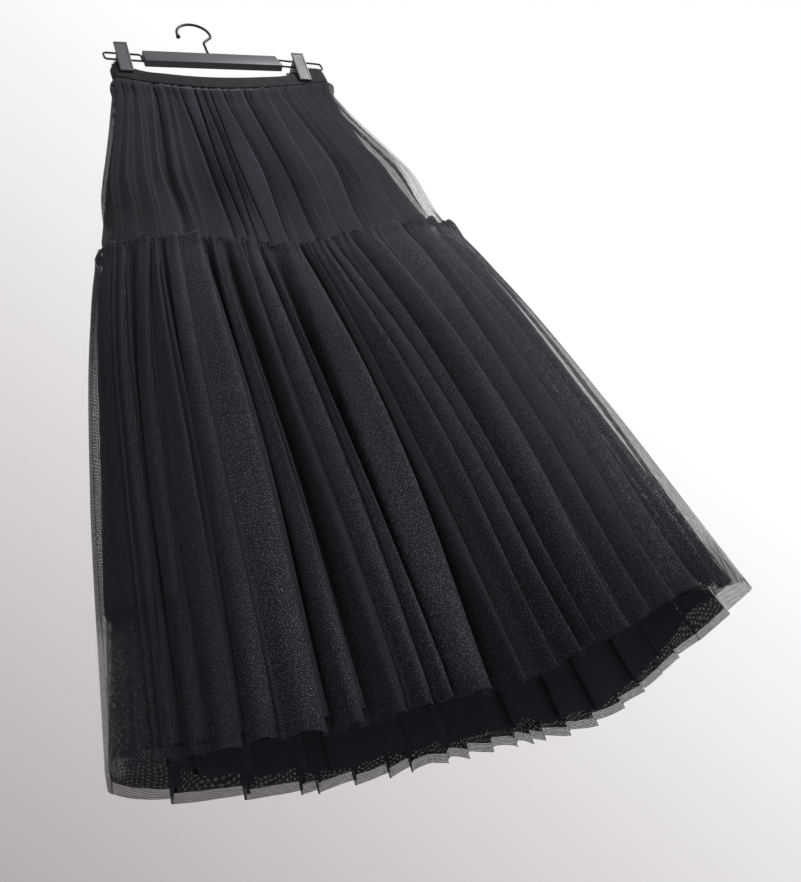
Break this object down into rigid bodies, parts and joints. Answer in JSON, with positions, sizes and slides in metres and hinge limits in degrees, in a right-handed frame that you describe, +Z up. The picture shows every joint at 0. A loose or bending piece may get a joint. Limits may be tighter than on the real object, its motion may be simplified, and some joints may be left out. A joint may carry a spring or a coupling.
{
  "type": "tulle skirt on a clip hanger",
  "caption": "Long tiered skirt of gathered black net with an elastic waistband and an opaque lining, held by the clips of a hooked hanger.",
  "frame": {"origin": "the inside top of the hanger's hook, where a rod or nail holds it", "axes": "+X along the hanger's bar, -Y out of the skirt's front, +Z up along the hanging skirt"},
  "size_m": [0.6548, 0.2191, 1.025],
  "materials": {
    "net": "sheer soft net",
    "lining": "opaque matt cloth",
    "elastic": "cloth-covered elastic",
    "plastic": "satin moulded plastic",
    "wire": "black-plated steel wire",
    "spring": "plain steel"
  },
  "bodies": {
    "root": {"waistband": "elastic", "upper_tier_front": "net", "upper_tier_back": "net", "lower_tier_front": "net", "lower_tier_back": "net", "under_layer_front": "net", "under_layer_back": "net", "lining_front": "lining", "lining_back": "lining", "hanger_bar": "plastic", "hanger_hook": "wire", "rail_left": "wire", "rail_right": "wire", "clip_block_left": "plastic", "clip_block_right": "plastic", "clip_front_left": "plastic", "clip_front_right": "plastic", "clip_back_left": "plastic", "clip_back_right": "plastic", "clip_spring_left": "spring", "clip_spring_right": "spring"}
  },
  "joints": []
}
